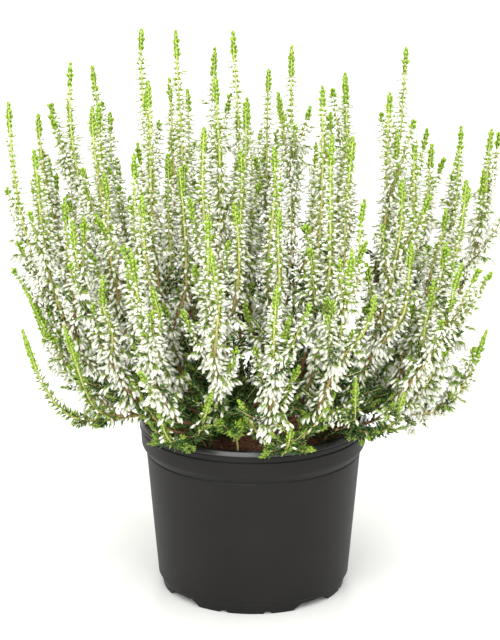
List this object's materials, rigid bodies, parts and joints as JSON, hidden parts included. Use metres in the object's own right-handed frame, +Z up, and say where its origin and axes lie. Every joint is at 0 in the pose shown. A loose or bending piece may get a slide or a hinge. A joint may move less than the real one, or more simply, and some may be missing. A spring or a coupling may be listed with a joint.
{
  "type": "potted heather",
  "caption": "Bushy heather with upright spikes of white buds and lime-green tips, in a tapered black plastic nursery pot.",
  "frame": {"origin": "on the pot's axis, at the bottom of its feet, on the surface that it stands on", "axes": "+Z up along the pot's axis; -Y is the front, which the picture shows; +X is to the right seen from the front"},
  "size_m": [0.2472, 0.2274, 0.297],
  "materials": {
    "pot_plastic": "satin",
    "peat_compost": "matte",
    "heather_wood": "matte",
    "white_buds": "matte",
    "green_needles": "matte"
  },
  "bodies": {
    "root": {"pot": "pot_plastic", "compost": "peat_compost", "crown_1": "heather_wood", "crown_2": "heather_wood", "crown_3": "heather_wood", "crown_4": "heather_wood", "crown_5": "heather_wood", "spray_01": "white_buds", "spray_02": "white_buds", "spray_03": "white_buds", "spray_04": "white_buds", "spray_05": "white_buds", "spray_06": "white_buds", "spray_07": "white_buds", "spray_08": "white_buds", "spray_09": "white_buds", "spray_10": "white_buds", "spray_11": "white_buds", "spray_12": "white_buds", "spray_13": "white_buds", "spray_14": "white_buds", "spray_15": "white_buds", "spray_16": "white_buds", "spray_17": "white_buds", "spray_18": "white_buds", "spray_19": "white_buds", "spray_20": "white_buds", "spray_21": "white_buds", "spray_22": "white_buds", "spray_23": "white_buds", "spray_24": "white_buds", "spray_25": "white_buds", "spray_26": "white_buds", "spray_27": "white_buds", "spray_28": "white_buds", "spray_29": "white_buds", "spray_30": "white_buds", "spray_31": "white_buds", "spray_32": "white_buds", "spray_33": "white_buds", "spray_34": "white_buds", "spray_35": "white_buds", "spray_36": "white_buds", "spray_37": "white_buds", "spray_38": "white_buds", "spray_39": "white_buds", "spray_40": "white_buds", "low_spray_1": "white_buds", "low_spray_2": "white_buds", "low_spray_3": "white_buds", "low_spray_4": "white_buds", "low_spray_5": "white_buds", "low_spray_6": "white_buds", "low_spray_7": "white_buds", "low_spray_8": "white_buds", "low_spray_9": "white_buds", "leafy_shoot_1": "green_needles", "leafy_shoot_2": "green_needles", "leafy_shoot_3": "green_needles"}
  },
  "joints": []
}
